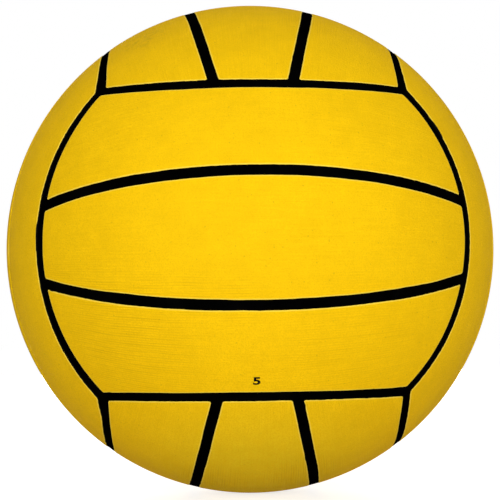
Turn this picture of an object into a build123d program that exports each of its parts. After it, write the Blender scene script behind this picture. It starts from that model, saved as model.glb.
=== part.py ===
from build123d import *
from math import acos, cos, degrees, radians, sin, sqrt, tan
import os

# Water polo ball, size 5. Lengths are in millimetres and angles in degrees.
# The origin is the ball's centre and +Z is up. The face with horizontal strips that looks
# along -Y is the front, and the valve is in the middle of the opposite face, on +Y.
# From the outside in, the ball is eighteen cover panels, a carcass whose raised ribs make the
# dark channels between them, a wound thread layer, a bladder, and a valve housing with its plug.

# Ball and layers. The ball is 695 mm round, the middle of the 680 to 710 mm that size 5 allows.
BALL_DIAMETER = 221.2
COVER_THICKNESS = 1.2
CARCASS_THICKNESS = 0.35
WINDING_THICKNESS = 0.3
BLADDER_THICKNESS = 0.65

# Channels and panels
CHANNEL_WIDTH = 4.25
CHANNEL_DEPTH = 0.5
MIDDLE_STRIP_HALF_ANGLE = 14.13
PANEL_CORNER_RADIUS = 1.0
PANEL_SHOULDER_RADIUS = 0.45

# Valve housing
VALVE_RECESS = 0.4
COLLAR_DIAMETER = 12.4
COLLAR_EDGE_RADIUS = 0.3
FLANGE_DIAMETER = 33.0
FLANGE_ROOT_THICKNESS = 1.1
FLANGE_RIM_THICKNESS = 0.4
FLANGE_ROOT_RADIUS = 1.2
TUBE_ROOT_DIAMETER = 10.4
TUBE_TIP_DIAMETER = 9.4
TUBE_LENGTH = 11.0
VALVE_HOLE_CLEARANCE = 0.1
VALVE_HOLE_LIP_RADIUS = 0.4

# Valve plug
STEM_DIAMETER = 6.2
HEAD_DIAMETER = 8.6
HEAD_THICKNESS = 1.0
HEAD_EDGE_RADIUS = 0.25
BULB_DIAMETER = 7.4
BULB_LENGTH = 3.6
NOSE_DIAMETER = 4.4
PLUG_CLEARANCE = 0.05
NEEDLE_BORE_DIAMETER = 2.3
NEEDLE_BORE_DEPTH = 12.0
COUNTERSINK_DIAMETER = 4.4
COUNTERSINK_DEPTH = 1.0
SLIT_WIDTH = 0.3
SLIT_LENGTH = 3.2

# Radii of the nested layers
BALL_RADIUS = BALL_DIAMETER / 2
BED_RADIUS = BALL_RADIUS - COVER_THICKNESS
RIB_RADIUS = BALL_RADIUS - CHANNEL_DEPTH
WINDING_RADIUS = BED_RADIUS - CARCASS_THICKNESS
BLADDER_RADIUS = WINDING_RADIUS - WINDING_THICKNESS
CAVITY_RADIUS = BLADDER_RADIUS - BLADDER_THICKNESS

# The six faces meet along circles through the corners of a cube inside the ball.
FACE_HALF_ANGLE = degrees(acos(1 / sqrt(3)))
CHANNEL_HALF_ANGLE = degrees(CHANNEL_WIDTH / 2 / BALL_RADIUS)

# Heights along the valve axis, from the ball's centre
COLLAR_TOP = BALL_RADIUS - VALVE_RECESS
HEAD_SEAT = COLLAR_TOP - HEAD_THICKNESS
TUBE_END = CAVITY_RADIUS - FLANGE_ROOT_THICKNESS - TUBE_LENGTH
NOSE_END = TUBE_END - BULB_LENGTH
NEEDLE_BORE_END = COLLAR_TOP - NEEDLE_BORE_DEPTH
VALVE_HOLE_RADIUS = COLLAR_DIAMETER / 2 + VALVE_HOLE_CLEARANCE

# Each face has its outward direction, the direction of its strips, and its strips' names.
# Strips on neighbouring faces run square to each other, so that all six faces are alike.
FACES = {
    "front": ((0, -1, 0), (1, 0, 0), ("upper", "middle", "lower")),
    "back": ((0, 1, 0), (-1, 0, 0), ("upper", "middle", "lower")),
    "right": ((1, 0, 0), (0, 0, 1), ("front", "middle", "back")),
    "left": ((-1, 0, 0), (0, 0, -1), ("front", "middle", "back")),
    "top": ((0, 0, 1), (0, 1, 0), ("left", "middle", "right")),
    "bottom": ((0, 0, -1), (0, -1, 0), ("left", "middle", "right")),
}
VALVE_FRAME = Plane(origin=(0, 0, 0), x_dir=(1, 0, 0), z_dir=(0, 1, 0)).location

# Cutting tools stand on the ball's centre and reach clear of the cover.
REACH = 1.1 * BALL_RADIUS
UPWARD = (Align.CENTER, Align.CENTER, Align.MIN)


def shell(inner_radius, outer_radius):
    """Hollow sphere about the ball's centre."""
    return Sphere(outer_radius) - Sphere(inner_radius)


def apex_cone(half_angle):
    """Cone along +Z that opens outward from the ball's centre and reaches past the cover."""
    base_radius = REACH * tan(radians(half_angle))
    return Cone(0, base_radius, REACH, align=UPWARD, rotation=(0, 0, 90))


def valve_hole():
    """Round hole from the ball's centre out through every layer at the valve."""
    return VALVE_FRAME * Cylinder(VALVE_HOLE_RADIUS, REACH, align=UPWARD)


def open_for_valve(panel):
    """Cut the valve's hole through a panel and round the hole's outer lip."""
    opened = panel - valve_hole()
    lip = opened.edges().sort_by_distance((0, BALL_RADIUS, 0))[0]
    return fillet(lip, VALVE_HOLE_LIP_RADIUS)


def face_blank():
    """Cover over one face, strips along X and outward along +Z, still without inner channels."""
    along_strips = Plane(origin=(0, 0, 0), x_dir=(0, 1, 0), z_dir=(1, 0, 0)).location
    cover = along_strips * shell(BED_RADIUS, BALL_RADIUS)
    return cover & apex_cone(FACE_HALF_ANGLE - CHANNEL_HALF_ANGLE)


def inner_channel_wall(side, offset):
    """Plane parallel to an inner channel's middle, through the strip axis and then offset in Y."""
    angle = radians(MIDDLE_STRIP_HALF_ANGLE)
    across = Vector(0, side * cos(angle), -sin(angle))
    return Plane(origin=across * offset, z_dir=across)


def round_corners(blank):
    """Round the upright corner edges of a panel, which run from its bed to its outer face."""
    def rise(edge):
        return abs((edge @ 0).length - (edge @ 1).length)

    corners = [edge for edge in blank.edges() if rise(edge) > COVER_THICKNESS / 2]
    return fillet(corners, PANEL_CORNER_RADIUS)


def outer_strip_blank():
    """Strip beside a face's edge, on the +Y side of the face's middle strip."""
    strip = split(face_blank(), inner_channel_wall(1, CHANNEL_WIDTH / 2), keep=Keep.TOP)
    beyond_edge = Rot(X=-90) * apex_cone(FACE_HALF_ANGLE + CHANNEL_HALF_ANGLE)
    return round_corners(strip - beyond_edge)


def middle_strip_blank():
    """Strip across the middle of a face, between its two inner channels."""
    strip = face_blank()
    for side in (1, -1):
        strip = split(strip, inner_channel_wall(side, -CHANNEL_WIDTH / 2), keep=Keep.BOTTOM)
    return round_corners(strip)


def round_shoulder(blank):
    """Round the outer rim of a panel, where it meets the channels."""
    rim = [edge for edge in blank.edges() if (edge @ 0.5).length > BALL_RADIUS - COVER_THICKNESS / 4]
    return fillet(rim, min(PANEL_SHOULDER_RADIUS, 0.9 * COVER_THICKNESS))


def face_places(face):
    """Places of a face's three strips, by node name, with the kind of strip at each."""
    outward, along, names = FACES[face]
    place = Plane(origin=(0, 0, 0), x_dir=along, z_dir=outward).location
    kinds = ("outer", "middle", "outer")
    turns = (Rot(Z=0), Rot(Z=0), Rot(Z=180))
    strips = zip(names, kinds, turns)
    return {f"panel_{face}_{name}": (kind, place * turn) for name, kind, turn in strips}


def valve_housing():
    """Boot that is bonded inside the bladder: collar, dished flange and tube, bored for the plug."""
    def on_cavity(radius):
        return (radius, sqrt(CAVITY_RADIUS**2 - radius**2))

    collar_foot = on_cavity(COLLAR_DIAMETER / 2)
    flange_middle = on_cavity((COLLAR_DIAMETER + FLANGE_DIAMETER) / 4)
    flange_rim = on_cavity(FLANGE_DIAMETER / 2)
    inner_share = 1 - FLANGE_RIM_THICKNESS / CAVITY_RADIUS
    flange_inner_rim = (flange_rim[0] * inner_share, flange_rim[1] * inner_share)
    tube_root = (TUBE_ROOT_DIAMETER / 2, CAVITY_RADIUS - FLANGE_ROOT_THICKNESS)
    tube_tip = (TUBE_TIP_DIAMETER / 2, TUBE_END)
    with BuildPart() as housing:
        with BuildSketch(Plane.XZ) as section:
            with BuildLine():
                Polyline((0, TUBE_END), (0, COLLAR_TOP), (COLLAR_DIAMETER / 2, COLLAR_TOP), collar_foot)
                ThreePointArc(collar_foot, flange_middle, flange_rim)
                Polyline(flange_rim, flange_inner_rim, tube_root, tube_tip, (0, TUBE_END))
            make_face()
            collar_edge = section.vertices().sort_by_distance((COLLAR_DIAMETER / 2, COLLAR_TOP))[0]
            fillet(collar_edge, COLLAR_EDGE_RADIUS)
            root_corner = section.vertices().sort_by_distance(tube_root)[0]
            fillet(root_corner, FLANGE_ROOT_RADIUS)
        revolve(axis=Axis.Z)
    bore = Pos(Z=TUBE_END) * Cylinder(
        STEM_DIAMETER / 2 + PLUG_CLEARANCE,
        COLLAR_TOP - TUBE_END,
        align=UPWARD,
    )
    counterbore = Pos(Z=HEAD_SEAT) * Cylinder(
        HEAD_DIAMETER / 2 + PLUG_CLEARANCE,
        HEAD_THICKNESS,
        align=UPWARD,
    )
    return VALVE_FRAME * (housing.part - bore - counterbore)


def valve_plug():
    """Rubber plug: flush head, stem, locking bulb, blind needle bore, and a slit through the nose."""
    bore_radius = NEEDLE_BORE_DIAMETER / 2
    with BuildPart() as plug:
        with BuildSketch(Plane.XZ) as section:
            with BuildLine():
                Polyline(
                    (0, NOSE_END),
                    (NOSE_DIAMETER / 2, NOSE_END),
                    (BULB_DIAMETER / 2, TUBE_END),
                    (STEM_DIAMETER / 2, TUBE_END),
                    (STEM_DIAMETER / 2, HEAD_SEAT),
                    (HEAD_DIAMETER / 2, HEAD_SEAT),
                    (HEAD_DIAMETER / 2, COLLAR_TOP),
                    (COUNTERSINK_DIAMETER / 2, COLLAR_TOP),
                    (bore_radius, COLLAR_TOP - COUNTERSINK_DEPTH),
                    (bore_radius, NEEDLE_BORE_END),
                    (0, NEEDLE_BORE_END),
                    close=True,
                )
            make_face()
            head_edge = section.vertices().sort_by_distance((HEAD_DIAMETER / 2, COLLAR_TOP))[0]
            fillet(head_edge, HEAD_EDGE_RADIUS)
        revolve(axis=Axis.Z)
    slit = Pos(Z=NOSE_END) * Box(
        SLIT_LENGTH,
        SLIT_WIDTH,
        NEEDLE_BORE_END - NOSE_END,
        align=UPWARD,
    )
    return VALVE_FRAME * (plug.part - slit)


def build():
    """All nodes of the ball, by name."""
    blanks = {"outer": outer_strip_blank(), "middle": middle_strip_blank()}
    panels = {kind: round_shoulder(blank) for kind, blank in blanks.items()}
    hole = valve_hole()
    nodes = {}
    beds = []
    for face in FACES:
        for name, (kind, place) in face_places(face).items():
            nodes[name] = place * panels[kind]
            beds.append(place * blanks[kind])
    nodes["panel_back_middle"] = open_for_valve(nodes["panel_back_middle"])
    nodes["carcass"] = shell(WINDING_RADIUS, RIB_RADIUS) - beds - hole
    nodes["winding"] = shell(BLADDER_RADIUS, WINDING_RADIUS) - hole
    nodes["bladder"] = shell(CAVITY_RADIUS, BLADDER_RADIUS) - hole
    nodes["valve_housing"] = valve_housing()
    nodes["valve_plug"] = valve_plug()
    return nodes


os.makedirs("parts", exist_ok=True)
for node, solid in build().items():
    export_step(solid, f"parts/{node}.step")
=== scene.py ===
import logging
import math
from dataclasses import dataclass
from enum import Enum
from functools import reduce
from itertools import product
from typing import Dict, List, Mapping, Optional, Sequence, Tuple, Union

import bmesh
import bpy
import numpy as np
from mathutils import Matrix, Vector, noise


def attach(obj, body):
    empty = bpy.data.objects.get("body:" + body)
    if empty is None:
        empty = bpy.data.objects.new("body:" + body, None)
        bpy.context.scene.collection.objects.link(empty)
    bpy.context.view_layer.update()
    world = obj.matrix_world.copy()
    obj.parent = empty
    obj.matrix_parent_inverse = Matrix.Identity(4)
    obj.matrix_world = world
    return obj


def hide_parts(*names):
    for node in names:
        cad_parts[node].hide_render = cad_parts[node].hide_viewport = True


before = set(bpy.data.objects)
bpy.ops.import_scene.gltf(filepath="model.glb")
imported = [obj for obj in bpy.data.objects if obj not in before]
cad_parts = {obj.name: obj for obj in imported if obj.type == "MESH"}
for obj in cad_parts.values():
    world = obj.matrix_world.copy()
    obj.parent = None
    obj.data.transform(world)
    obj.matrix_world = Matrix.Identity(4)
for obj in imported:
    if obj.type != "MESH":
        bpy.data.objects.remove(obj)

# Sizes are in metres and angles in radians, in the ball's own frame: its centre is the origin,
# +Z is up and the face that looks at the camera is on -Y.
MM = 0.001
TINY = 1e-12
BODY = "root"
# Angle on the ball from a face's middle to the circle that bounds the face.
FACE_HALF_ANGLE = math.acos(1 / math.sqrt(3))
LOG = logging.getLogger("water_polo_ball")

Colour = Tuple[float, float, float, float]
Point = Tuple[float, float, float]
Span = Tuple[float, float]
Socket = bpy.types.NodeSocket
Sockets = Mapping[str, Socket]
Feed = Union[Socket, float, Sequence[float]]


class StripKind(Enum):
    """The two shapes of cover strip on a face."""

    OUTER = "outer"
    MIDDLE = "middle"


class Face(Enum):
    """The six faces: outward direction, direction of the strips, and the strips' names."""

    FRONT = ((0, -1, 0), (1, 0, 0), ("upper", "middle", "lower"))
    BACK = ((0, 1, 0), (-1, 0, 0), ("upper", "middle", "lower"))
    RIGHT = ((1, 0, 0), (0, 0, 1), ("front", "middle", "back"))
    LEFT = ((-1, 0, 0), (0, 0, -1), ("front", "middle", "back"))
    TOP = ((0, 0, 1), (0, 1, 0), ("left", "middle", "right"))
    BOTTOM = ((0, 0, -1), (0, -1, 0), ("left", "middle", "right"))

    def __init__(self, outward: Point, along: Point, strips: Tuple[str, str, str]) -> None:
        """Keep the face's directions as vectors, and its strips' names."""
        self.outward, self.along = np.array(outward, float), np.array(along, float)
        self.strips = strips


class FrontLine(Enum):
    """Lines round the front face: the middle of their circle, their own middle, and their far end."""

    LEFT = ((0, -1, 0), (-1, 0, 0), (0, 0, 1))
    RIGHT = ((0, -1, 0), (1, 0, 0), (0, 0, 1))
    TOP = ((0, 0, 1), (0, -1, 0), (1, 0, 0))

    def __init__(self, axis: Point, middle: Point, far: Point) -> None:
        """Keep the line's directions as vectors."""
        self.axis, self.middle, self.far = (np.array(part, float) for part in (axis, middle, far))


class Step(Enum):
    """Math node operations that the finishes use."""

    ADD = "ADD"
    SUBTRACT = "SUBTRACT"
    MULTIPLY = "MULTIPLY"
    DIVIDE = "DIVIDE"
    MAXIMUM = "MAXIMUM"


@dataclass(frozen=True)
class Spot:
    """A round place in a finish, in millimetres: its middle, its reach and how strong it is.

    It has its full strength over the core's share of the reach, and none at the reach.
    """

    middle: Point
    reach: float
    most: float = 1.0
    core: float = 0.2


def neutral(level: float) -> Colour:
    """Colour without a hue."""
    return (level, level, level, 1.0)


class Wiring:
    """Adds nodes to one node tree and joins their sockets."""

    def __init__(self, tree: bpy.types.NodeTree) -> None:
        """Start on the tree of a material, a world or a group, with whatever it holds removed."""
        self.tree = tree
        tree.nodes.clear()

    def feed(self, socket: Socket, value: Feed) -> None:
        """Join a socket to an output, or set its constant.

        Args:
            socket: Input to feed.
            value: An output socket, a number or a list of numbers.
        """
        if isinstance(value, bpy.types.NodeSocket):
            self.tree.links.new(value, socket)
        else:
            socket.default_value = value

    def node(
        self, kind: str, feeds: Optional[Dict[Union[str, int], Feed]] = None, **settings: object
    ) -> bpy.types.Node:
        """Add a node.

        Args:
            kind: Node type, without its ShaderNode prefix.
            feeds: What its inputs are fed, by their name or number.
            settings: Properties to set on it.

        Returns:
            The new node.
        """
        made = self.tree.nodes.new(f"ShaderNode{kind}")
        for name, value in settings.items():
            setattr(made, name, value)
        for key, given in (feeds or {}).items():
            self.feed(made.inputs[key], given)
        return made

    def math(self, step: Step, first: Feed, second: Feed) -> Socket:
        """Two values combined by one math step."""
        return self.node("Math", {0: first, 1: second}, operation=step.value).outputs[0]

    def remap(self, value: Feed, low: float, high: float, to_low: Feed, to_high: Feed) -> Socket:
        """Value mapped smoothly from one range to another, and clamped at both ends."""
        feeds = {"Value": value, "From Min": low, "From Max": high, "To Min": to_low, "To Max": to_high}
        return self.node("MapRange", feeds, interpolation_type="SMOOTHSTEP", clamp=True).outputs["Result"]

    def scaled(self, vector: Feed, scale: Feed) -> Socket:
        """Vector multiplied by another one, part by part."""
        return self.node("VectorMath", {0: vector, 1: scale}, operation="MULTIPLY").outputs["Vector"]

    def noise(self, vector: Feed, scale: Feed, detail: float, roughness: float = 0.5) -> Socket:
        """Noise from 0 to 1, with so many features per metre, finer octaves and strength of these."""
        feeds = {"Vector": vector, "Scale": scale, "Detail": detail, "Roughness": roughness}
        return self.node("TexNoise", feeds).outputs["Fac"]

    def mix(self, factor: Feed, first: Feed, second: Feed, blend: str = "MIX") -> Socket:
        """Colour that goes from the first at factor 0 to the second at factor 1."""
        feeds = {"Factor": factor, 6: first, 7: second}
        return self.node("Mix", feeds, data_type="RGBA", blend_type=blend).outputs[2]

    def closeness(self, position: Feed, spot: Spot) -> Socket:
        """Value that is greatest in the middle of a spot and fades to nothing at its reach.

        Args:
            position: Place.
            spot: The spot.

        Returns:
            The value.
        """
        middle = [MM * part for part in spot.middle]
        away = self.node("VectorMath", {0: position, 1: middle}, operation="DISTANCE").outputs["Value"]
        return self.remap(away, MM * spot.reach * spot.core, MM * spot.reach, spot.most, 0.0)

    def grey(self, value: Feed) -> Socket:
        """Colour with the same value in all three parts."""
        return self.node("CombineColor", {part: value for part in range(3)}).outputs["Color"]

    def bump(self, height: Feed, distance: float) -> Socket:
        """Normal that stands for a relief of some depth, whose heights go from 0 to 1."""
        return self.node("Bump", {"Distance": distance, "Strength": 1.0, "Height": height}).outputs["Normal"]

    def most(self, values: Sequence[Feed]) -> Socket:
        """Greatest of some values."""
        return reduce(lambda first, second: self.math(Step.MAXIMUM, first, second), values)

    def shown(self) -> Socket:
        """Value that is 1 for what the camera sees, also in gloss or through glass, and 0 for light."""
        path = self.node("LightPath").outputs
        return self.most([path[f"Is {kind} Ray"] for kind in ("Camera", "Glossy", "Transmission")])

    def place(self, group: bpy.types.NodeTree, **values: Feed) -> Sockets:
        """Outputs of an effect group, whose inputs are fed by name, with underscores for spaces."""
        feeds = {name.replace("_", " "): given for name, given in values.items()}
        return self.node("Group", feeds, node_tree=group).outputs

    def surface(self, feeds: Dict[str, Feed]) -> None:
        """Give the material one Principled shader, with some of its inputs fed."""
        shader = self.node("BsdfPrincipled", feeds)
        self.node("OutputMaterial", {"Surface": shader.outputs["BSDF"]})


def new_group(
    name: str, inputs: Dict[str, str], outputs: Dict[str, str]
) -> Tuple[Wiring, Sockets, Sockets]:
    """Start an effect group.

    Args:
        name: Name of the group.
        inputs: Input names with their socket types.
        outputs: Output names with their socket types.

    Returns:
        The group's wiring, what it is given and what it gives, by name.
    """
    tree = bpy.data.node_groups.new(name, "ShaderNodeTree")
    for in_out, sockets in (("INPUT", inputs), ("OUTPUT", outputs)):
        for socket_name, kind in sockets.items():
            tree.interface.new_socket(socket_name, in_out=in_out, socket_type=f"NodeSocket{kind}")
    wiring = Wiring(tree)
    given = tree.nodes.new("NodeGroupInput").outputs
    gives = tree.nodes.new("NodeGroupOutput").inputs
    return wiring, given, gives


class Effects:
    """Shader effects that the finishes share, each built once as a node group.

    Rates are in features per metre.
    """

    MOTTLES_PER_GRAIN = 0.06
    BROAD_RATE = 26.0
    CLOUD_RATE = 140.0
    LARGEST_SPECK = 0.22
    SPECKLESS_SHARE = 0.72
    SPECK_BLUR = 0.03
    FINER_LINES = (1.7, 2.3, 1.0)
    FINER_SHARE = 0.38
    WAVE_RATE = 420.0
    BLOB_RATE = 95.0
    BLOB_RANGE = (0.66, 0.8)
    PAINT_BLUR = 0.06 * MM

    def __init__(self) -> None:
        """Build the groups."""
        self.grain = self._grain()
        self.soil = self._soil()
        self.streaks = self._streaks()
        self.ragged_edge = self._ragged_edge()

    def _grain(self) -> bpy.types.NodeTree:
        """Fine pebble grain of moulded rubber.

        Returns:
            Group that gives a height around 1 and a mottle from 0 to 1.
        """
        inputs = {"Position": "Vector", "Grains per metre": "Float"}
        w, given, gives = new_group("rubber_grain", inputs, {"Height": "Float", "Mottle": "Float"})
        position, rate = given["Position"], given["Grains per metre"]
        pebbles = {"Vector": position, "Scale": rate, "Smoothness": 0.6}
        cells = w.node("TexVoronoi", pebbles, feature="SMOOTH_F1")
        fine = w.noise(position, rate, 3.0, 0.6)
        w.feed(gives["Height"], w.math(Step.ADD, cells.outputs["Distance"], fine))
        coarse = w.math(Step.MULTIPLY, rate, self.MOTTLES_PER_GRAIN)
        w.feed(gives["Mottle"], w.noise(position, coarse, 4.0, 0.6))
        return w.tree

    def _soil(self) -> bpy.types.NodeTree:
        """Handling marks: broad uneven tone and small dark specks.

        Returns:
            Group that gives a tone around 1 and a speck mask.
        """
        names = ("Unevenness", "Speck spacing", "Speck amount")
        inputs = {"Position": "Vector", **{name: "Float" for name in names}}
        w, given, gives = new_group("handling_soil", inputs, {"Tone": "Float", "Specks": "Float"})
        position = given["Position"]
        broad = w.noise(position, self.BROAD_RATE, 3.0, 0.55)
        clouds = w.noise(position, self.CLOUD_RATE, 3.0, 0.6)
        spread = w.math(Step.SUBTRACT, w.math(Step.ADD, broad, clouds), 1.0)
        w.feed(gives["Tone"], w.math(Step.ADD, w.math(Step.MULTIPLY, spread, given["Unevenness"]), 1.0))
        rate = w.math(Step.DIVIDE, 1.0, given["Speck spacing"])
        cells = w.node("TexVoronoi", {"Vector": position, "Scale": rate}, feature="F1").outputs
        lot = w.node("SeparateColor", {"Color": cells["Color"]}).outputs["Red"]
        size = w.remap(lot, self.SPECKLESS_SHARE, 1.0, 0.0, self.LARGEST_SPECK)
        dots = w.remap(w.math(Step.SUBTRACT, size, cells["Distance"]), 0.0, self.SPECK_BLUR, 0.0, 1.0)
        w.feed(gives["Specks"], w.math(Step.MULTIPLY, dots, given["Speck amount"]))
        return w.tree

    def _streaks(self) -> bpy.types.NodeTree:
        """Long fine lines, as of brushed grip rubber or laid thread.

        Returns:
            Group that gives a line value around 0.5.
        """
        inputs = {"Place": "Vector", "Line length": "Float", "Line pitch": "Float", "Contrast": "Float"}
        w, given, gives = new_group("fine_streaks", inputs, {"Lines": "Float"})
        sizes = {"X": given["Line length"], "Y": given["Line pitch"]}
        rates = {axis: w.math(Step.DIVIDE, 1.0, size) for axis, size in sizes.items()}
        stretched = w.scaled(given["Place"], w.node("CombineXYZ", rates).outputs["Vector"])
        wide = w.math(Step.MULTIPLY, w.noise(stretched, 1.0, 2.0, 0.65), 1.0 - self.FINER_SHARE)
        finer = w.noise(w.scaled(stretched, self.FINER_LINES), 1.0, 1.0)
        both = w.math(Step.ADD, wide, w.math(Step.MULTIPLY, finer, self.FINER_SHARE))
        spread = w.math(Step.MULTIPLY, w.math(Step.SUBTRACT, both, 0.5), given["Contrast"])
        w.feed(gives["Lines"], w.math(Step.ADD, spread, 0.5))
        return w.tree

    def _ragged_edge(self) -> bpy.types.NodeTree:
        """Hand-painted edge: a band beside an edge, with an uneven border and a few blobs.

        Returns:
            Group that gives the painted mask.
        """
        names = ("Distance", "Reach", "Raggedness", "Blobs")
        inputs = {"Position": "Vector", **{name: "Float" for name in names}}
        w, given, gives = new_group("ragged_paint_edge", inputs, {"Painted": "Float"})
        position = given["Position"]
        fine = w.math(Step.SUBTRACT, w.noise(position, self.WAVE_RATE, 3.0, 0.6), 0.5)
        wave = w.math(Step.MULTIPLY, fine, given["Raggedness"])
        rare = w.remap(w.noise(position, self.BLOB_RATE, 1.0), *self.BLOB_RANGE, 0.0, 1.0)
        blob = w.math(Step.MULTIPLY, rare, given["Blobs"])
        border = w.math(Step.ADD, w.math(Step.ADD, given["Reach"], wave), blob)
        inside = w.math(Step.SUBTRACT, border, given["Distance"])
        w.feed(gives["Painted"], w.remap(inside, -self.PAINT_BLUR, self.PAINT_BLUR, 0.0, 1.0))
        return w.tree


def new_material(name: str) -> Tuple[bpy.types.Material, Wiring]:
    """Start a material.

    Args:
        name: Name of the material.

    Returns:
        The material and its wiring.
    """
    material = bpy.data.materials.new(name)
    material.use_nodes = True
    return material, Wiring(material.node_tree)


@dataclass(frozen=True)
class GripRubber:
    """Matte yellow cover rubber with brushed grip lines, and black paint at the panel's edge."""

    colour: Colour = (0.95, 0.58, 0.0035, 1.0)
    shade: Colour = (0.76, 0.44, 0.002, 1.0)
    # Painted reflection of the white floor: the paler, greener colour used towards the bottom.
    floor_reflection_colour: Colour = (0.83, 0.6, 0.016, 1.0)
    score: Colour = (0.58, 0.32, 0.002, 1.0)
    speck: Colour = (0.25, 0.15, 0.01, 1.0)
    # Painted highlight: the paler yellow of the panels' rounded shoulders.
    shoulder_highlight: Colour = (1.0, 0.76, 0.1, 1.0)
    paint: Colour = neutral(0.0015)
    roughness: Span = (0.82, 0.68)
    specular: float = 0.03
    relief: float = 0.095 * MM
    line_length: float = 26 * MM
    line_pitch: float = 0.6 * MM
    line_contrast: Span = (1.15, 2.6)
    line_patches: float = 20.0
    line_patch_range: Span = (0.35, 0.65)
    line_depth: float = 0.42
    cross_length: float = 14 * MM
    cross_pitch: float = 0.7 * MM
    cross_contrast: float = 0.45
    comb_pitch: float = 1.1 * MM
    comb_wander: float = 2.5
    comb_wander_rate: float = 0.15
    comb_run: float = 22 * MM
    comb_breadth: float = 1.3 * MM
    comb_contrast: float = 2.7
    comb_depth: Span = (0.1, 0.72)
    comb_range: Span = (0.2, 0.8)
    comb_boldness: float = 0.3
    grains_per_metre: float = 1700.0
    grain_depth: float = 0.95
    grain_range: Span = (0.4, 1.2)
    mottle_depth: float = 0.1
    mottle_range: Span = (0.38, 0.6)
    clouding: float = 0.13
    speck_spacing: float = 1.7 * MM
    speck_amount: float = 0.22
    smudge_patches: float = 260.0
    smudge_range: Span = (0.42, 0.66)
    shoulder_highlight_reach: float = 0.8 * MM
    shoulder_highlight_depth: float = 0.62
    paint_reach: float = 0.13 * MM
    paint_raggedness: float = 0.3 * MM
    paint_blobs: float = 0.35 * MM
    smudge: Spot = Spot((-45.9, -45.5, 89.8), 15, 0.3)
    floor_reflection_spot: Spot = Spot((0, -46, -100), 72)
    calm: Spot = Spot((10, -100, 45), 150, 0.42)
    combed: Tuple[Spot, ...] = (
        Spot((-55, -86, -42), 50, 0.8),
        Spot((-80, -74, -17), 16, 0.6),
        Spot((-62, -89, -20), 16, 0.7),
        Spot((-44, -99, -23), 16, 0.7),
        Spot((-26, -105, -24), 16, 0.7),
        Spot((-8, -107, -25), 16, 0.6),
        Spot((20, -46, -98), 24, 0.8),
        Spot((-18, -42, -100), 22, 0.7),
        Spot((25, -51, 95), 18, 0.6),
        Spot((38, -91, -49), 52, 0.4),
    )

    def _lines(
        self, w: Wiring, effects: Effects, place: Socket, position: Socket
    ) -> Tuple[Socket, Socket]:
        """Brushed grip lines along the strip, with weaker ones across it, and even marks of a comb.

        Args:
            w: The material's wiring.
            effects: Shared effect groups.
            place: Place on the strip.
            position: Place in the ball's frame.

        Returns:
            Line value around 0.5, and depth of the comb's marks from 0 to 1.
        """
        combing = w.most([w.closeness(position, spot) for spot in self.combed])
        patches = w.noise(position, self.line_patches, 2.0)
        uneven = w.remap(patches, *self.line_patch_range, *self.line_contrast)
        bold = w.math(Step.ADD, uneven, w.math(Step.MULTIPLY, combing, self.comb_boldness))
        sets = (
            (self.line_length, self.line_pitch, bold),
            (self.cross_pitch, self.cross_length, self.cross_contrast),
            (self.comb_run, self.comb_breadth, self.comb_contrast),
        )
        along, across, runs = (
            w.place(
                effects.streaks, Place=place, Line_length=length, Line_pitch=pitch, Contrast=contrast
            )["Lines"]
            for length, pitch, contrast in sets
        )
        lines = w.math(Step.SUBTRACT, w.math(Step.ADD, along, across), 0.5)
        # At scale 1 the wave node has ten waves in a length of pi.
        wave = {
            "Vector": place,
            "Scale": math.pi / 10 / self.comb_pitch,
            "Distortion": self.comb_wander,
            "Detail": 1.0,
            "Detail Scale": self.comb_wander_rate,
        }
        comb = w.node("TexWave", wave, wave_type="BANDS", bands_direction="Y", wave_profile="SIN")
        pressed = w.math(Step.MULTIPLY, w.remap(runs, *self.comb_range, *self.comb_depth), combing)
        return lines, w.math(Step.MULTIPLY, comb.outputs["Fac"], pressed)

    def _rubber(
        self, w: Wiring, effects: Effects, position: Socket, grain: Sockets, lines: Socket, marks: Socket
    ) -> Socket:
        """Colour of the rubber itself.

        Args:
            w: The material's wiring.
            effects: Shared effect groups.
            position: Place in the ball's frame.
            grain: Outputs of the grain.
            lines: Grip lines.
            marks: Comb marks.

        Returns:
            The colour.
        """
        soil = w.place(
            effects.soil, Position=position, Unevenness=self.clouding,
            Speck_spacing=self.speck_spacing, Speck_amount=self.speck_amount,
        )
        # Painted reflection of the white floor: the colour turns paler and greener towards the bottom of the
        # ball.
        colour = w.mix(w.closeness(position, self.floor_reflection_spot), self.colour, self.floor_reflection_colour)
        colour = w.mix(w.remap(lines, 0.0, 1.0, self.line_depth, 0.0), colour, self.shade)
        colour = w.mix(marks, colour, self.score)
        mottle = w.remap(grain["Mottle"], *self.mottle_range, self.mottle_depth, 0.0)
        colour = w.mix(mottle, colour, self.shade)
        colour = w.mix(1.0, colour, w.grey(soil["Tone"]), "MULTIPLY")
        grit = w.math(Step.SUBTRACT, self.grain_depth, w.closeness(position, self.calm))
        colour = w.mix(w.remap(grain["Height"], *self.grain_range, grit, 0.0), colour, self.shade)
        patches = w.noise(position, self.smudge_patches, 5.0, 0.7)
        patchy = w.remap(patches, *self.smudge_range, 0.0, 1.0)
        smudged = w.math(Step.MULTIPLY, w.closeness(position, self.smudge), patchy)
        return w.mix(soil["Specks"], w.mix(smudged, colour, self.speck), self.speck)

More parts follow.
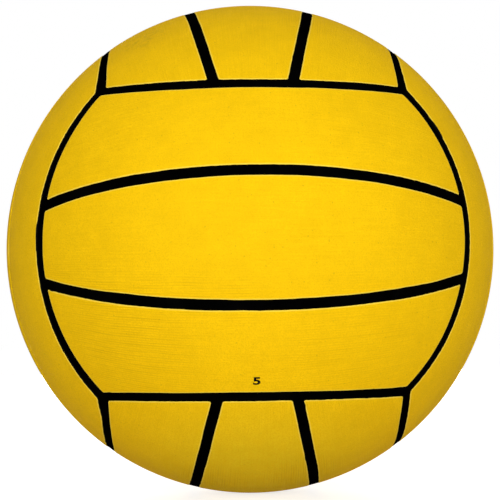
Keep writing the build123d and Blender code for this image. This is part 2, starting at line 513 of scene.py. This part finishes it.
    def build(self, effects: Effects) -> bpy.types.Material:
        """Build the material.

        Args:
            effects: Shared effect groups.

        Returns:
            The material.
        """
        material, w = new_material("cover_grip_rubber")
        place = w.node("Attribute", attribute_name="strip_place").outputs["Vector"]
        edge = w.node("Attribute", attribute_name="paint_distance").outputs["Fac"]
        position = w.node("TexCoord").outputs["Object"]
        grain = w.place(effects.grain, Position=position, Grains_per_metre=self.grains_per_metre)
        lines, marks = self._lines(w, effects, place, position)
        rubber = self._rubber(w, effects, position, grain, lines, marks)
        # Painted highlight: a paler yellow band along each panel's edge stands for light caught on the
        # rounded shoulder.
        rim = w.remap(edge, self.shoulder_highlight_reach / 2, self.shoulder_highlight_reach, self.shoulder_highlight_depth, 0.0)
        painted = w.place(
            effects.ragged_edge, Position=position, Distance=edge, Reach=self.paint_reach,
            Raggedness=self.paint_raggedness, Blobs=self.paint_blobs,
        )["Painted"]
        w.surface({
            "Base Color": w.mix(painted, w.mix(rim, rubber, self.shoulder_highlight), self.paint),
            "Roughness": w.remap(lines, 0.0, 1.0, *self.roughness),
            "Specular IOR Level": self.specular,
            "Normal": w.bump(w.math(Step.ADD, lines, grain["Height"]), self.relief),
        })
        return material


@dataclass(frozen=True)
class DarkRubber:
    """Black moulded rubber with a fine grain, for the channels, the valve, the bladder and the ink."""

    name: str
    colour: Colour
    worn: Colour
    grains_per_metre: float
    relief: float
    roughness: Span
    specular: float
    clouding: float = 0.5
    speck_spacing: float = 4 * MM
    speck_amount: float = 0.6
    wear: float = 0.7
    worn_range: Span = (0.4, 0.75)
    rough_range: Span = (0.3, 0.7)

    def build(self, effects: Effects) -> bpy.types.Material:
        """Build the material.

        Args:
            effects: Shared effect groups.

        Returns:
            The material.
        """
        material, w = new_material(self.name)
        position = w.node("TexCoord").outputs["Object"]
        grain = w.place(effects.grain, Position=position, Grains_per_metre=self.grains_per_metre)
        soil = w.place(
            effects.soil, Position=position, Unevenness=self.clouding,
            Speck_spacing=self.speck_spacing, Speck_amount=self.speck_amount,
        )
        worn = w.remap(grain["Mottle"], *self.worn_range, 0.0, self.wear)
        mottled = w.mix(worn, self.colour, self.worn)
        toned = w.mix(1.0, mottled, w.grey(soil["Tone"]), "MULTIPLY")
        w.surface({
            "Base Color": w.mix(soil["Specks"], toned, self.worn),
            "Roughness": w.remap(grain["Mottle"], *self.rough_range, *self.roughness),
            "Specular IOR Level": self.specular,
            "Normal": w.bump(grain["Height"], self.relief),
        })
        return material


@dataclass(frozen=True)
class WoundThread:
    """Pale nylon thread laid in crossing directions and set in latex."""

    thread: Colour = (0.72, 0.69, 0.6, 1.0)
    latex: Colour = (0.42, 0.34, 0.2, 1.0)
    pitch: float = 0.9 * MM
    run: float = 60 * MM
    contrast: float = 3.0
    relief: float = 0.12 * MM
    roughness: Span = (0.75, 0.55)
    thread_range: Span = (0.45, 0.8)
    rough_range: Span = (0.4, 0.9)
    turns: Tuple[Point, ...] = ((0.0, 0.0, 0.4), (0.7, 0.3, 1.5), (1.3, 0.9, 2.6))

    def build(self, effects: Effects) -> bpy.types.Material:
        """Build the material.

        Args:
            effects: Shared effect groups.

        Returns:
            The material.
        """
        material, w = new_material("wound_thread")
        position = w.node("TexCoord").outputs["Object"]
        laid: List[Socket] = []
        for turn in self.turns:
            turned = w.node("Mapping", {"Vector": position, "Rotation": turn}).outputs["Vector"]
            threads = w.place(
                effects.streaks, Place=turned, Line_length=self.run, Line_pitch=self.pitch,
                Contrast=self.contrast,
            )
            laid.append(threads["Lines"])
        lay = w.most(laid)
        w.surface({
            "Base Color": w.mix(w.remap(lay, *self.thread_range, 0.0, 1.0), self.latex, self.thread),
            "Roughness": w.remap(lay, *self.rough_range, *self.roughness),
            "Normal": w.bump(lay, self.relief),
        })
        return material


@dataclass(frozen=True)
class StudioFloor:
    """Pale seamless floor that reads as white and keeps the ball's soft shadow."""

    colour: Colour = neutral(0.62)
    tone: Span = (0.97, 1.0)
    tone_patches: float = 3.0
    tone_range: Span = (0.3, 0.7)
    roughness: float = 0.9
    specular: float = 0.1
    lift: float = 0.72
    glow_fill: float = 0.08
    glow_fill_under: Spot = Spot((0, 0, 0), 110, 0.13)

    def build(self) -> bpy.types.Material:
        """Build the material.

        Returns:
            The material.
        """
        material, w = new_material("studio_floor")
        position = w.node("TexCoord").outputs["Object"]
        tone = w.remap(w.noise(position, self.tone_patches, 2.0), *self.tone_range, *self.tone)
        shader = w.node("BsdfPrincipled", {
            "Base Color": w.mix(1.0, self.colour, w.grey(tone), "MULTIPLY"),
            "Roughness": self.roughness,
            "Specular IOR Level": self.specular,
        })
        # Beside its white for the camera, the floor glows as a light on the ball: a little everywhere and
        # more under the ball, lifting the ball's lower side.
        given = w.most((w.shown(), self.glow_fill, w.closeness(position, self.glow_fill_under)))
        glow = w.node("Emission", {"Strength": w.math(Step.MULTIPLY, given, self.lift)})
        both = w.node("AddShader", {0: shader.outputs["BSDF"], 1: glow.outputs["Emission"]})
        w.node("OutputMaterial", {"Surface": both.outputs["Shader"]})
        return material


def unit(vectors: np.ndarray) -> np.ndarray:
    """Vectors in rows, each made one long."""
    return vectors / np.linalg.norm(vectors, axis=1, keepdims=True)


def corners_of(mesh: bpy.types.Mesh) -> np.ndarray:
    """Corners of a mesh, in rows."""
    return np.array([v.co for v in mesh.vertices])


def border_of(index: np.ndarray) -> List[int]:
    """Numbers round the edge of a grid of numbers, in order."""
    sides = (index[0, :-1], index[:-1, -1], index[-1, :0:-1], index[:0:-1, 0])
    return [int(i) for side in sides for i in side]


def node_radii(node: str) -> Span:
    """Least and greatest distance of a CAD node's corners from the ball's centre."""
    reach = np.linalg.norm(corners_of(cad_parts[node].data), axis=1)
    return float(reach.min()), float(reach.max())


def hole_radius(node: str) -> float:
    """Radius of the round hole that goes through a CAD node along Y."""
    corners = corners_of(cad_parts[node].data)
    return float(np.hypot(corners[:, 0], corners[:, 2]).min())


def dress(node: str, material: bpy.types.Material) -> None:
    """Give a CAD node its finish.

    Args:
        node: Name of the node.
        material: The finish.
    """
    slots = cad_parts[node].data.materials
    slots.clear()
    slots.append(material)
    LOG.info("dressed %s with %s", node, material.name)


def new_object(name: str, data: bpy.types.ID) -> bpy.types.Object:
    """Make an object and link it into the scene.

    Args:
        name: Name of the object.
        data: Its mesh, curve, light or camera.

    Returns:
        The object.
    """
    made = bpy.data.objects.new(name, data)
    bpy.context.scene.collection.objects.link(made)
    return made


def new_piece(mesh: bpy.types.Mesh, node: Optional[str] = None) -> None:
    """Make a piece of the ball, which takes its mesh's name.

    Args:
        mesh: The piece's mesh, in the ball's frame.
        node: CAD node that it stands for, if any.
    """
    piece = new_object(mesh.name, mesh)
    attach(piece, BODY)
    if node:
        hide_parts(node)
    LOG.info("built %s with %d points", piece.name, len(mesh.vertices))


@dataclass(frozen=True)
class StripOutline:
    """Edges of a strip in its face's own axes: X along the strip, Y across it and Z outward."""

    kind: StripKind
    radius: float
    channel: float
    seam_lap: float = 0.0
    middle_half_angle: float = math.radians(14.13)

    @property
    def half_seam(self) -> float:
        """Angle on the ball from the middle of an inner channel to the strip."""
        return (self.channel / 2 - self.seam_lap) / self.radius

    @property
    def end_angle(self) -> float:
        """Angle from the face's middle to the strip's two ends."""
        return FACE_HALF_ANGLE - self.channel / 2 / self.radius

    @property
    def side_angle(self) -> float:
        """Angle from the next face's middle to an outer strip's outer side."""
        return FACE_HALF_ANGLE + self.channel / 2 / self.radius

    def end_at(self, across: np.ndarray) -> np.ndarray:
        """Angles along the strip at which it ends, for angles about its axis."""
        return np.arccos(math.cos(self.end_angle) / np.cos(across))

    def sides_at(self, along: np.ndarray) -> Tuple[np.ndarray, np.ndarray]:
        """Angles about the strip's axis at which it starts and stops.

        Args:
            along: Angles along the strip.

        Returns:
            The lower and the upper side.
        """
        half = np.arcsin(math.sin(self.half_seam) / np.cos(along))
        if self.kind is StripKind.MIDDLE:
            return half - self.middle_half_angle, self.middle_half_angle - half
        upper = np.arcsin(math.cos(self.side_angle) / np.cos(along))
        return self.middle_half_angle + half, upper

    def _seam_normal(self, side: int) -> Span:
        """Parts along Y and Z of the inner channel's normal, pointing into the strip.

        Args:
            side: -1 for the strip's lower side and 1 for its upper side.

        Returns:
            The two parts.
        """
        sine, cosine = math.sin(self.middle_half_angle), math.cos(self.middle_half_angle)
        if self.kind is StripKind.OUTER:
            return cosine, -sine
        return -side * cosine, sine

    def end_distance(self, points: np.ndarray) -> np.ndarray:
        """Distance on the ball from points inside the strip to its nearer end."""
        return self.radius * (self.end_angle - np.arccos(points[..., 2]))

    def side_distance(self, points: np.ndarray, side: int) -> np.ndarray:
        """Distance on the ball from points inside the strip to one of its long sides.

        Args:
            points: Unit vectors.
            side: -1 for the lower side and 1 for the upper side.

        Returns:
            The distances.
        """
        if self.kind is StripKind.OUTER and side > 0:
            return self.radius * (np.arccos(points[..., 1]) - self.side_angle)
        part_y, part_z = self._seam_normal(side)
        return self.radius * (np.arcsin(points[..., 1] * part_y + points[..., 2] * part_z) - self.half_seam)

    def near_corner(self, end: np.ndarray, sideways: np.ndarray, side: int) -> Tuple[np.ndarray, np.ndarray]:
        """Y and Z of the unit vector at given distances from an end and a long side.

        Args:
            end: Distances from the end.
            sideways: Distances from the side.
            side: -1 for the lower side and 1 for the upper side.

        Returns:
            The two parts.
        """
        height = np.cos(self.end_angle - end / self.radius)
        if self.kind is StripKind.OUTER and side > 0:
            return np.cos(self.side_angle + sideways / self.radius), height
        part_y, part_z = self._seam_normal(side)
        target = np.sin(self.half_seam + sideways / self.radius)
        return (target - part_z * height) / part_y, height


@dataclass(frozen=True)
class HandTrim:
    """How far one face's panels stand back from a line.

    The depths are in millimetres, at the line's near end, its middle and its far end.
    """

    line: FrontLine
    face: Face
    depths: Tuple[float, float, float]
    half_span: float = math.radians(38)
    level_from: float = 1.2
    reach: float = 1.8
    fade: float = 22 * MM

    def shift(self, points: np.ndarray, radius: float) -> np.ndarray:
        """Move points away from the line, less and less with distance from it.

        Args:
            points: Unit vectors in the ball's frame.
            radius: The ball's radius.

        Returns:
            The moved unit vectors.
        """
        height = points @ self.line.axis
        side = 1.0 if np.mean(height) > math.cos(FACE_HALF_ANGLE) else -1.0
        away = side * radius * (FACE_HALF_ANGLE - np.arccos(np.clip(height, -1, 1)))
        turn = np.arctan2(points @ self.line.far, points @ self.line.middle) / self.half_span
        share = np.clip(turn, -self.level_from, self.level_from)
        own = np.clip((self.reach - np.abs(turn)) / (self.reach - self.level_from), 0, 1)
        start, centre, end = (MM * depth for depth in self.depths)
        depth = centre + (end - start) / 2 * share + ((start + end) / 2 - centre) * share**2
        near = np.clip(1 - away / self.fade, 0, 1) * own
        across = self.line.axis - height[:, None] * points
        across /= np.maximum(np.linalg.norm(across, axis=1, keepdims=True), TINY)
        return unit(points + (side * depth * near**2 * (3 - 2 * near) / radius)[:, None] * across)


@dataclass
class CoverPanel:
    """One yellow strip of the cover: a closed shell with rounded corners and shoulders."""

    face: Face
    strip: str
    kind: StripKind
    turned: bool
    seed: float
    radius: float
    bed_radius: float
    channel: float
    trims: Tuple[HandTrim, ...] = ()
    seam_lap: float = 0.0
    bare_side: int = 0
    bare_seam: float = 0.45 * MM
    bare_spread: float = 12 * MM
    line_fan: float = 0.5
    hole: Optional[float] = None
    hole_block: float = 10.5 * MM
    hole_shares: Tuple[float, ...] = (0.2, 0.4, 0.6, 0.8)
    lip: float = 0.4 * MM
    lip_margin: float = 0.4 * MM
    cell: float = 1.7 * MM
    least_cells: int = 4
    shoulder: float = 0.45 * MM
    shoulder_rows: int = 4
    corner: float = 1.0 * MM
    wobble: float = 0.2 * MM
    wobble_waves: float = 62.0
    fine_wobble: Span = (0.4, 2.7)
    seed_offset: Point = (1.0, 2.3, -1.7)
    settle_steps: int = 40

    @property
    def node(self) -> str:
        """Name of the CAD node that the panel stands for."""
        return f"panel_{self.face.name.lower()}_{self.strip}"

    def _spread(self, length: float) -> Tuple[np.ndarray, np.ndarray]:
        """Where the grid's lines lie over a length: close together over both shoulders, else even.

        Args:
            length: Length from edge to edge.

        Returns:
            Each line's share of the way from the middle to an edge, and its inset there.
        """
        turns = np.linspace(0, math.pi / 2, self.shoulder_rows + 1)
        rows = self.shoulder * (1 - np.cos(turns))
        insets = np.concatenate([rows, [(self.shoulder + self.corner) / 2, self.corner]])
        even = np.linspace(-1, 1, 2 * max(self.least_cells, round(length / self.cell / 2)) + 1)[1:-1]
        ends = np.ones(len(insets))
        share = np.concatenate([-ends, even, ends])
        return share, np.concatenate([insets, np.full(len(even), insets[-1]), insets[::-1]])

    def _grid(self, outline: StripOutline) -> np.ndarray:
        """Unit vectors over the strip, in rows across it and columns along it.

        Args:
            outline: The strip's edges.

        Returns:
            Array of rows, columns and the three parts.
        """
        lower, upper = outline.sides_at(np.zeros(1))
        middle = (lower + upper) / 2
        across_share, across_inset = self._spread(float(upper[0] - lower[0]) * self.radius)
        along_share, along_inset = self._spread(2 * float(outline.end_at(middle)[0]) * self.radius)
        along = np.zeros((len(across_share), len(along_share)))
        across = np.full_like(along, float(middle[0]))
        for _ in range(self.settle_steps):
            end = outline.end_at(across)
            slope = np.sin(end) * np.cos(across) / math.sin(outline.end_angle)
            along = along_share * (end - along_inset / self.radius / slope)
            low, high = outline.sides_at(along)
            half = (high - low) / 2 - across_inset[:, None] / self.radius / np.cos(along)
            target = (low + high) / 2 + across_share[:, None] * half
            across = (across + target) / 2
        return np.stack([np.sin(along), np.cos(along) * np.sin(across), np.cos(along) * np.cos(across)], -1)

    def _round_corners(
        self, points: np.ndarray, outline: StripOutline
    ) -> Tuple[np.ndarray, np.ndarray, np.ndarray]:
        """Bend the grid's square corners into round ones.

        Args:
            points: Unit vectors of the grid.
            outline: The strip's edges.

        Returns:
            The bent grid, each point's distance from the edge, and its distance from the paint.
        """
        end = outline.end_distance(points)
        edge, paint, bent = end.copy(), end.copy(), points.copy()
        for side in (-1, 1):
            sideways = outline.side_distance(points, side)
            edge = np.minimum(edge, sideways)
            bare = self.bare_seam * (1 + np.abs(points[..., 0]) * self.radius / self.bare_spread)
            paint = np.minimum(paint, sideways + bare if side == self.bare_side else sideways)
            inside = (end < self.corner) & (sideways < self.corner)
            reach_end = self.corner - end[inside]
            reach_side = self.corner - sideways[inside]
            longest = np.maximum(reach_end, reach_side)
            share = longest / np.maximum(np.hypot(reach_end, reach_side), TINY)
            part_y, part_z = outline.near_corner(
                self.corner - reach_end * share, self.corner - reach_side * share, side
            )
            part_x = np.sqrt(np.maximum(1 - part_y**2 - part_z**2, 0))
            bent[inside] = np.stack([np.sign(points[inside][:, 0]) * part_x, part_y, part_z], -1)
        return bent, np.maximum(edge, 0), np.maximum(paint, 0)

    def _drop(self, distance: np.ndarray, rounding: float) -> np.ndarray:
        """Depth below the outer face at distances from an edge with a round of some radius."""
        short = np.clip(rounding - distance, 0, rounding)
        return rounding - np.sqrt(rounding**2 - short**2)

    def _wobbled(self, points: np.ndarray) -> np.ndarray:
        """Shift points a little along the surface, so that the panel's edges are hand-cut.

        Args:
            points: Unit vectors in rows.

        Returns:
            The shifted unit vectors.
        """
        offset = Vector([part * self.seed for part in self.seed_offset])
        share, finer = self.fine_wobble
        shift = np.empty_like(points)
        for index, point in enumerate(points):
            place = Vector(point * self.radius * self.wobble_waves) + offset
            shift[index] = noise.noise_vector(place) + share * noise.noise_vector(place * finer)
        return unit(points + shift * (self.wobble / self.radius))

    def _hole_rings(self, start: np.ndarray) -> Tuple[np.ndarray, np.ndarray]:
        """Rings of points from a square round the valve to the edge of its hole.

        Args:
            start: Unit vectors of the square's points, in order.

        Returns:
            The rings, from the outermost, and their distances from the hole's edge.
        """
        flat = start[:, :2] * self.radius
        reach = np.linalg.norm(flat, axis=1)
        rim = self.hole + self.lip + self.lip_margin
        turns = np.linspace(math.pi / 2, 0, self.shoulder_rows + 1)
        targets = [reach + (rim - reach) * share for share in self.hole_shares]
        targets += [np.full_like(reach, self.hole + near) for near in self.lip * (1 - np.cos(turns))]
        rings = [flat * (target / reach)[:, None] / self.radius for target in targets]
        heights = [np.sqrt(1 - (ring**2).sum(1)) for ring in rings]
        raised = [np.column_stack(pair) for pair in zip(rings, heights)]
        return np.array(raised), np.array(targets) - self.hole

    def _surface(self) -> Tuple[np.ndarray, np.ndarray, np.ndarray, List[List[int]], List[List[int]]]:
        """Outer face of the panel in its face's own axes.

        Returns:
            Unit vectors, depths below the cover, distances from the paint, faces, and the open
            loops in the order that has the panel on their left.
        """
        outline = StripOutline(self.kind, self.radius, self.channel, self.seam_lap)
        grid = self._grid(outline)
        bent, edge, paint = self._round_corners(grid, outline)
        rows, columns = edge.shape
        index = np.arange(rows * columns).reshape(rows, columns)
        points, paint = bent.reshape(-1, 3), paint.reshape(-1)
        depth = self._drop(edge.reshape(-1), self.shoulder)
        kept = np.ones((rows - 1, columns - 1), bool)
        loops = [border_of(index)]
        extra: List[List[int]] = []
        if self.hole:
            inside_row = np.flatnonzero(np.abs(grid[:, columns // 2, 1]) * self.radius < self.hole_block)
            inside_column = np.flatnonzero(np.abs(grid[rows // 2, :, 0]) * self.radius < self.hole_block)
            i0, i1, j0, j1 = inside_row[0], inside_row[-1], inside_column[0], inside_column[-1]
            kept[i0:i1, j0:j1] = False
            previous = border_of(index[i0 : i1 + 1, j0 : j1 + 1])
            for ring, distance in zip(*self._hole_rings(points[previous])):
                current = list(range(len(points), len(points) + len(ring)))
                points = np.concatenate([points, ring])
                paint = np.concatenate([paint, np.full(len(ring), self.hole_block)])
                depth = np.concatenate([depth, self._drop(distance, self.lip)])
                for k in range(len(current)):
                    after = (k + 1) % len(current)
                    extra.append([previous[k], previous[after], current[after], current[k]])
                previous = current
            loops.append(previous[::-1])
        faces = [
            [int(index[i, j]), int(index[i, j + 1]), int(index[i + 1, j + 1]), int(index[i + 1, j])]
            for i, j in zip(*np.nonzero(kept))
        ]
        return points, depth, paint, faces + extra, loops

    def _placed(self, points: np.ndarray) -> np.ndarray:
        """Turn points from the face's own axes into the ball's frame, and trim them.

        Args:
            points: Unit vectors in rows.

        Returns:
            The turned and trimmed unit vectors.
        """
        strip_axis = (-1.0 if self.turned else 1.0) * self.face.along
        placed = points @ np.array([strip_axis, np.cross(self.face.outward, strip_axis), self.face.outward])
        for trim in self.trims:
            if trim.face is self.face:
                placed = trim.shift(placed, self.radius)
        return placed

    def build(self, material: bpy.types.Material) -> None:
        """Make the panel and put it in its CAD node's place.

        Args:
            material: The cover's finish.
        """
        points, depth, paint, faces, loops = self._surface()
        along = np.arcsin(points[:, 0]) * self.radius
        fan = np.cos(along / self.radius) ** self.line_fan
        across = np.arctan2(points[:, 1], points[:, 2]) * self.radius * fan
        points = self._wobbled(points)
        used = np.zeros(len(points), bool)
        used[np.unique([i for face in faces for i in face])] = True
        renumber = np.cumsum(used) - 1
        faces, loops = ([[int(renumber[i]) for i in group] for group in groups] for groups in (faces, loops))
        points, depth, paint, along, across = (a[used] for a in (points, depth, paint, along, across))
        points = self._placed(points)
        outer = points * (self.radius - depth)[:, None]
        inner = points * self.bed_radius
        count = len(points)
        under = [[i + count for i in reversed(face)] for face in faces]
        walls = [
            [a, a + count, b + count, b]
            for loop in loops
            for a, b in zip(loop, loop[1:] + loop[:1])
        ]
        mesh = bpy.data.meshes.new(f"{self.node}_cover")
        mesh.from_pydata(np.concatenate([outer, inner]).tolist(), [], faces + under + walls)
        mesh.polygons.foreach_set("use_smooth", [True] * len(mesh.polygons))
        place = mesh.attributes.new("strip_place", "FLOAT_VECTOR", "POINT")
        values = np.column_stack([along + self.seed, across, np.full(count, self.seed)])
        place.data.foreach_set("vector", np.concatenate([values, values]).ravel())
        distance = mesh.attributes.new("paint_distance", "FLOAT", "POINT")
        distance.data.foreach_set("value", np.concatenate([paint, paint]))
        mesh.materials.append(material)
        mesh.update()
        new_piece(mesh, self.node)


@dataclass
class Cover:
    """The eighteen yellow panels."""

    radius: float
    bed_radius: float
    finish: GripRubber = GripRubber()
    channel: float = 4.25 * MM
    valve_panel: str = "panel_back_middle"
    side_seam_lap: float = 0.7 * MM
    wobble_seed: int = 5
    seed_step: float = 0.37
    kinds: Tuple[StripKind, ...] = (StripKind.OUTER, StripKind.MIDDLE, StripKind.OUTER)
    trims: Tuple[HandTrim, ...] = (
        HandTrim(FrontLine.LEFT, Face.LEFT, (2.3, 0.6, 1.35)),
        HandTrim(FrontLine.LEFT, Face.FRONT, (-0.2, 0.4, -0.55)),
        HandTrim(FrontLine.RIGHT, Face.RIGHT, (-0.45, 0.9, 1.7)),
        HandTrim(FrontLine.RIGHT, Face.FRONT, (0.95, -0.2, -0.25)),
        HandTrim(FrontLine.TOP, Face.TOP, (0.75, 0.1, -0.45)),
        HandTrim(FrontLine.TOP, Face.FRONT, (-0.65, -0.1, 0.1)),
    )

    def build(self, effects: Effects) -> None:
        """Build every panel.

        Args:
            effects: Shared effect groups.
        """
        material = self.finish.build(effects)
        noise.seed_set(self.wobble_seed)
        for number, (face, row) in enumerate(product(Face, range(len(self.kinds))), 1):
            panel = CoverPanel(
                face, face.strips[row], self.kinds[row], turned=row == len(self.kinds) - 1,
                seed=self.seed_step * number, radius=self.radius, bed_radius=self.bed_radius,
                channel=self.channel, trims=self.trims,
            )
            if face in (Face.LEFT, Face.RIGHT):
                panel.seam_lap = self.side_seam_lap if row == 0 else 0.0
                panel.bare_side = 1 if row == 1 else 0
            if panel.node == self.valve_panel:
                panel.hole = hole_radius(self.valve_panel)
            panel.build(material)


@dataclass
class Carcass:
    """The black layer that carries the panels, with its ribs brought up nearly flush between them."""

    radius: float
    bed_radius: float
    rib_drop: float = 0.1 * MM
    fade: float = 6 * MM

    def build(self, material: bpy.types.Material) -> None:
        """Make the carcass from its CAD node and raise its ribs.

        The ribs within the two side faces stay as they are.

        Args:
            material: The finish of the channels.
        """
        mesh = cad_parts["carcass"].data.copy()
        mesh.name = "carcass_ribs"
        corners = corners_of(mesh)
        reach = np.linalg.norm(corners, axis=1)
        tops = reach > (self.bed_radius + reach.max()) / 2
        aside = np.arccos(np.abs(corners[tops, 0]) / reach[tops])
        raised = np.clip(1 - (FACE_HALF_ANGLE - aside) * self.radius / self.fade, 0, 1)
        rise = raised * (self.radius - self.rib_drop - reach[tops])
        corners[tops] *= (1 + rise / reach[tops])[:, None]
        mesh.vertices.foreach_set("co", corners.ravel())
        mesh.materials.clear()
        mesh.materials.append(material)
        mesh.update()
        new_piece(mesh, "carcass")


@dataclass
class Inside:
    """The layers under the cover, and the valve."""

    carcass: Carcass
    channel: DarkRubber = DarkRubber(
        "channel_black", neutral(0.0004), neutral(0.0016),
        grains_per_metre=900.0, relief=0.04 * MM, roughness=(0.9, 0.75), specular=0.0,
    )
    butyl: DarkRubber = DarkRubber(
        "bladder_butyl", (0.012, 0.012, 0.013, 1.0), (0.04, 0.04, 0.042, 1.0),
        grains_per_metre=500.0, relief=0.05 * MM, roughness=(0.55, 0.4), specular=0.4,
    )
    valve: DarkRubber = DarkRubber(
        "valve_rubber", neutral(0.006), neutral(0.022),
        grains_per_metre=1800.0, relief=0.03 * MM, roughness=(0.62, 0.48), specular=0.2,
    )
    thread: WoundThread = WoundThread()

    def build(self, effects: Effects) -> None:
        """Build the carcass and dress the CAD nodes that stay.

        Args:
            effects: Shared effect groups.
        """
        self.carcass.build(self.channel.build(effects))
        dress("winding", self.thread.build(effects))
        dress("bladder", self.butyl.build(effects))
        valve = self.valve.build(effects)
        for node in ("valve_housing", "valve_plug"):
            dress(node, valve)


@dataclass
class SizeMark:
    """The ball's plain size number, printed in black on the front lower panel."""

    radius: float
    text: str = "5"
    height: float = 3.7 * MM
    breadth: float = 1.35
    boldness: float = 0.036
    latitude: float = math.radians(-31.2)
    longitude: float = math.radians(-0.25)
    thickness: float = 0.03 * MM
    weld: float = 1e-4
    ink: DarkRubber = DarkRubber(
        "size_number_ink", neutral(0.001), neutral(0.006),
        grains_per_metre=1600.0, relief=0.02 * MM, roughness=(0.8, 0.65), specular=0.02,
    )

    def _flat(self) -> Tuple[np.ndarray, List[List[int]]]:
        """Closed flat figure of the number, centred, with its height along Y.

        Returns:
            Its points and faces.
        """
        curve = bpy.data.curves.new("size_number", "FONT")
        curve.body = self.text
        curve.extrude = 0.5
        curve.offset = self.boldness
        shape = new_object("size_number", curve)
        solid = bpy.data.meshes.new_from_object(shape.evaluated_get(bpy.context.evaluated_depsgraph_get()))
        bpy.data.objects.remove(shape)
        bpy.data.curves.remove(curve)
        form = bmesh.new()
        form.from_mesh(solid)
        bmesh.ops.remove_doubles(form, verts=form.verts, dist=self.weld)
        bmesh.ops.recalc_face_normals(form, faces=form.faces)
        form.verts.index_update()
        points = np.array([v.co for v in form.verts])
        faces = [[v.index for v in f.verts] for f in form.faces]
        form.free()
        bpy.data.meshes.remove(solid)
        low, high = points.min(0), points.max(0)
        scale = self.height / (high[1] - low[1])
        points = points - (low + high) / 2
        points *= np.array([scale * self.breadth, scale, self.thickness])
        return points, faces

    def build(self, effects: Effects) -> None:
        """Print the number on the cover.

        Args:
            effects: Shared effect groups.
        """
        points, faces = self._flat()
        level = math.cos(self.latitude)
        outward = np.array(
            [level * math.sin(self.longitude), -level * math.cos(self.longitude), math.sin(self.latitude)]
        )
        east = np.array([math.cos(self.longitude), math.sin(self.longitude), 0.0])
        north = np.cross(outward, east)
        rays = unit(outward * self.radius + points[:, :1] * east + points[:, 1:2] * north)
        placed = rays * (self.radius + points[:, 2:3])
        mesh = bpy.data.meshes.new("size_number")
        mesh.from_pydata(placed.tolist(), [], faces)
        mesh.materials.append(self.ink.build(effects))
        new_piece(mesh)


@dataclass
class Studio:
    """Floor, lights, background and camera."""

    radius: float
    image_size: float = 500.0
    ball_centre_px: Span = (250.0, 249.3)
    ball_radius_px: float = 243.5
    distance_in_radii: float = 7.16
    sensor_width: float = 36.0
    clip_start: float = 0.01
    yaw: float = math.radians(1.46)
    pitch: float = math.radians(-2.51)
    roll: float = math.radians(-0.78)
    floor_size: float = 12.0
    key_level: float = 0.785
    key_size: float = 0.8
    key_places: Tuple[Point, Point] = ((0.02, -2.0, 0.2), (-0.02, 2.0, 0.2))
    sky_level: Span = (0.415, 0.412)
    sky_heights: Span = (-0.6, 0.9)
    floor: StudioFloor = StudioFloor()

    def build(self) -> None:
        """Build the studio."""
        self._floor()
        for name, place in zip(("front_light", "back_light"), self.key_places):
            self._key(name, Vector(place))
        self._world()
        self._camera()

    def _floor(self) -> None:
        """Lay the floor under the ball."""
        half = self.floor_size / 2
        corners = [(-half, -half, 0), (half, -half, 0), (half, half, 0), (-half, half, 0)]
        mesh = bpy.data.meshes.new("studio_floor")
        mesh.from_pydata(corners, [], [(0, 1, 2, 3)])
        mesh.materials.append(self.floor.build())
        floor = new_object("studio_floor", mesh)
        floor.location.z = -self.radius

    def _key(self, name: str, place: Vector) -> None:
        """Hang one large soft light that looks at the ball.

        Args:
            name: Name of the light.
            place: Where it hangs.
        """
        light = bpy.data.lights.new(name, "AREA")
        light.shape = "SQUARE"
        light.size = self.key_size
        light.energy = self.key_level * math.pi**2 * place.length_squared
        lamp = new_object(name, light)
        lamp.location = place
        lamp.rotation_euler = place.to_track_quat("Z", "Y").to_euler()

    def _world(self) -> None:
        """White background for the camera and a soft sky for the light."""
        world = bpy.data.worlds.new("studio_sky")
        world.use_nodes = True
        bpy.context.scene.world = world
        w = Wiring(world.node_tree)
        parts = w.node("SeparateXYZ", {0: w.node("TexCoord").outputs["Generated"]})
        level = w.remap(parts.outputs["Z"], *self.sky_heights, *self.sky_level)
        strength = w.node("Mix", {"Factor": w.shown(), 2: level, 3: 1.0}, data_type="FLOAT")
        background = w.node("Background", {"Color": neutral(1.0), "Strength": strength.outputs[0]})
        w.node("OutputWorld", {"Surface": background.outputs["Background"]})

    def _camera(self) -> None:
        """Set the camera where the photograph was taken from."""
        turns = ((self.roll, "Y"), (self.pitch, "X"), (self.yaw, "Z"))
        roll, pitch, yaw = (Matrix.Rotation(angle, 3, axis) for angle, axis in turns)
        back = (roll @ pitch @ yaw).transposed()
        right, forward, up = back.col[0], back.col[1], back.col[2]
        focal_px = math.sqrt(self.distance_in_radii**2 - 1) * self.ball_radius_px
        distance = self.distance_in_radii * self.radius
        metres_per_px = distance / focal_px
        aside, below = ((self.image_size / 2 - centre) * metres_per_px for centre in self.ball_centre_px)
        data = bpy.data.cameras.new("camera")
        data.sensor_width = self.sensor_width
        data.lens = self.sensor_width * focal_px / self.image_size
        data.clip_start = self.clip_start
        camera = new_object("camera", data)
        place = -distance * forward + aside * right - below * up
        pose = Matrix((right, up, -forward)).transposed().to_4x4()
        camera.matrix_world = Matrix.Translation(place) @ pose
        bpy.context.scene.camera = camera


def main() -> None:
    """Build the ball and its studio."""
    logging.basicConfig(level=logging.INFO, format="%(message)s")
    bpy.context.scene.view_settings.view_transform = "Standard"
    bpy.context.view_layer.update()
    effects = Effects()
    bed_radius, radius = node_radii("panel_front_middle")
    Cover(radius, bed_radius).build(effects)
    Inside(Carcass(radius, bed_radius)).build(effects)
    SizeMark(radius).build(effects)
    Studio(radius).build()


if __name__ == "__main__":
    main()
